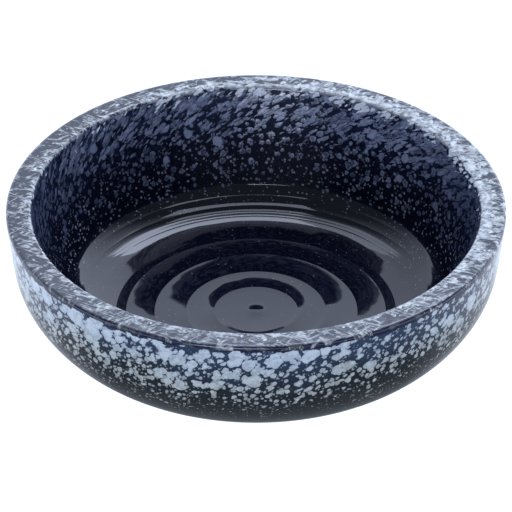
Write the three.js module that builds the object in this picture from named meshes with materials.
import * as THREE from 'three';

// A thick-walled round stoneware bowl for sashimi, in millimetres, +Z up, standing on z = 0.
// The clay is thrown and turned in one piece, and its foot ring is left bare. Four coats of glaze
// are fired on to it: inside, over the rim, down the outside and in the hollow under the foot.

// Rim and outer wall
const rimDiameter = 160;
const rimWidth = 8;
const rimEdgeRadius = 1.6;
const outerTaper = 2.2; // how far the outer wall draws in before it turns under
const turnDepth = 18; // below the rim, where the outer wall turns under
const undersideRise = 1.4; // how far the turn still climbs at its handle above the foot

// Inner wall and cove
const wellDepth = 40.6; // from the rim to the crests of the throwing rings
const wallLean = 9.5; // how far the inner wall leans in between the rim and the cove
const coveHeight = 9.1;
const coveWidth = 13;

// Throwing rings on the floor of the well
const centreDiscDiameter = 29;
const centreDishDepth = 0.6;
const ringPitch = 9.4;
const ringGrooveDepth = 0.3;

// Base and foot ring
const baseThickness = 6.4; // from the crests of the rings to the hollow under the foot
const footRingDiameter = 88;
const footRingWidth = 6;
const footRingHeight = 4;
const footEdgeChamfer = 0.8;

// Glaze
const glazeThickness = 0.6;
const footGlazeMargin = 2; // bare clay between the foot ring and the glaze in its hollow

// Shares of the turn's drop and reach that its two handles cover
const shoulderHandle = 0.455;
const baseHandle = 0.552;

// Steps of the mesh
const roundSteps = 56;
const discSteps = 4;
const grooveSteps = 4;
const coveSteps = 6;
const edgeSteps = 3;
const turnSteps = 9;

// Places worked out from the sizes above
const rimRadius = rimDiameter / 2;
const rimInnerRadius = rimRadius - rimWidth;
const floorLevel = footRingHeight + baseThickness;
const rimLevel = floorLevel + wellDepth;
const wallFootRadius = rimInnerRadius - wallLean;
const wallFootLevel = floorLevel + coveHeight;
const coveStartRadius = wallFootRadius - coveWidth;
const discRadius = centreDiscDiameter / 2;
const ringCount = Math.floor((coveStartRadius - discRadius) / ringPitch);
const footRadius = footRingDiameter / 2;
const footInnerRadius = footRadius - footRingWidth;

// Corners of the section, as (radius, height)
const innerCorner = new THREE.Vector2(rimInnerRadius, rimLevel);
const outerCorner = new THREE.Vector2(rimRadius, rimLevel);
const wallFoot = new THREE.Vector2(wallFootRadius, wallFootLevel);
const turnTop = new THREE.Vector2(rimRadius - outerTaper, rimLevel - turnDepth);
const footTop = new THREE.Vector2(footRadius, footRingHeight);

// The point at a given distance from one point towards another
function stepTowards(from, to, distance) {
  return from.clone().add(to.clone().sub(from).setLength(distance));
}

function roundedEdge(corner, before, after) {
  const start = stepTowards(corner, before, rimEdgeRadius);
  const end = stepTowards(corner, after, rimEdgeRadius);
  return new THREE.QuadraticBezierCurve(start, corner, end).getPoints(edgeSteps);
}

// A shallow groove that dips between two crests at floor level
function groove(startRadius, endRadius) {
  const points = [];
  for (let i = 1; i <= grooveSteps; i += 1) {
    const share = i / grooveSteps;
    const radius = THREE.MathUtils.lerp(startRadius, endRadius, share);
    const dip = 4 * ringGrooveDepth * share * (1 - share);
    points.push(new THREE.Vector2(radius, floorLevel - dip));
  }
  return points;
}

function wellFloorLine() {
  const points = [];
  for (let i = 0; i <= discSteps; i += 1) {
    const share = i / discSteps;
    const dip = centreDishDepth * (1 - share * share);
    points.push(new THREE.Vector2(discRadius * share, floorLevel - dip));
  }
  for (let ring = 0; ring < ringCount; ring += 1) {
    const crest = discRadius + ring * ringPitch;
    points.push(...groove(crest, crest + ringPitch));
  }
  points.push(...groove(discRadius + ringCount * ringPitch, coveStartRadius));
  return points;
}

// The cove leaves the floor level and ends in line with the inner wall
function coveLine() {
  const wallSlope = wallLean / (rimLevel - wallFootLevel);
  const start = new THREE.Vector2(coveStartRadius, floorLevel);
  const handle = new THREE.Vector2(wallFootRadius - wallSlope * coveHeight, floorLevel);
  return new THREE.QuadraticBezierCurve(start, handle, wallFoot).getPoints(coveSteps).slice(1);
}

function rimLine() {
  const inner = roundedEdge(innerCorner, wallFoot, outerCorner);
  const outer = roundedEdge(outerCorner, innerCorner, turnTop);
  return [...inner, ...outer];
}

// The outer wall goes straight down to the turn, then curves under to the foot ring
function outsideLine(start) {
  const drop = turnTop.y - footTop.y;
  const reach = turnTop.x - footTop.x;
  const wallDirection = turnTop.clone().sub(outerCorner).normalize();
  const upperHandle = turnTop.clone().addScaledVector(wallDirection, drop * shoulderHandle);
  const lowerHandle = new THREE.Vector2(footTop.x + reach * baseHandle, footTop.y + undersideRise);
  const turn = new THREE.CubicBezierCurve(turnTop, upperHandle, lowerHandle, footTop);
  return [start, ...turn.getPoints(turnSteps)];
}

// The same line moved into the clay. Its first point is on the axis, so the point before that one
// is the mirror image of the second.
function insetLine(points, depth) {
  return points.map((point, i) => {
    const before = i > 0 ? points[i - 1] : new THREE.Vector2(-points[1].x, points[1].y);
    const after = points[Math.min(i + 1, points.length - 1)];
    const along = after.clone().sub(before).normalize();
    return point.clone().add(new THREE.Vector2(along.y, -along.x).multiplyScalar(depth));
  });
}

// Turns a section about the axis. Sections run with the solid on their right.
function turned(section) {
  const geometry = new THREE.LatheGeometry([...section].reverse(), roundSteps);
  return geometry.rotateX(Math.PI / 2);
}

// A coat lies between a stretch of the glazed line and the same stretch of the clay's line
function coatGeometry(first, last) {
  const face = glazeLine.slice(first, last + 1);
  const back = clayLine.slice(first, last + 1).reverse();
  const section = [...face, ...back];
  if (face[0].x > 0) section.push(face[0]);
  return turned(section);
}

function clayGeometry() {
  const footTopRadius = clayLine[clayLine.length - 1].x;
  const foot = [
    new THREE.Vector2(footTopRadius, footEdgeChamfer),
    new THREE.Vector2(footTopRadius - footEdgeChamfer, 0),
    new THREE.Vector2(footInnerRadius + footEdgeChamfer, 0),
    new THREE.Vector2(footInnerRadius, footEdgeChamfer),
    new THREE.Vector2(footInnerRadius, footRingHeight),
    new THREE.Vector2(0, footRingHeight),
  ];
  return turned([...clayLine, ...foot]);
}

function footGlazeGeometry() {
  const radius = footInnerRadius - footGlazeMargin;
  const disc = new THREE.CylinderGeometry(radius, radius, glazeThickness, roundSteps);
  return disc.rotateX(Math.PI / 2);
}

function glaze(color, roughness) {
  return new THREE.MeshStandardMaterial({ color, roughness, metalness: 0 });
}

function addPiece(name, geometry, material) {
  const piece = new THREE.Mesh(geometry, material);
  piece.name = name;
  bowl.add(piece);
  return piece;
}

// The glazed line of the whole bowl, from the middle of the well over the rim to the foot
const insidePart = [...wellFloorLine(), ...coveLine()];
const rimPart = rimLine();
const outsidePart = outsideLine(rimPart[rimPart.length - 1]);
const glazeLine = [...insidePart, ...rimPart, ...outsidePart.slice(1)];
const clayLine = insetLine(glazeLine, glazeThickness);
const rimStart = insidePart.length;
const rimEnd = rimStart + rimPart.length - 1;

const bowl = new THREE.Group();
const stoneware = new THREE.MeshStandardMaterial({ color: 0x8d7460, roughness: 0.85, metalness: 0 });
addPiece('clay_body', clayGeometry(), stoneware);
addPiece('inner_glaze', coatGeometry(0, rimStart), glaze(0x14172a, 0.12));
addPiece('rim_glaze', coatGeometry(rimStart, rimEnd), glaze(0x8792a6, 0.2));
addPiece('outer_glaze', coatGeometry(rimEnd, glazeLine.length - 1), glaze(0x7d8ba2, 0.15));
const footGlaze = addPiece('foot_recess_glaze', footGlazeGeometry(), glaze(0x1c2130, 0.15));
footGlaze.position.z = footRingHeight - glazeThickness / 2;

export default bowl;
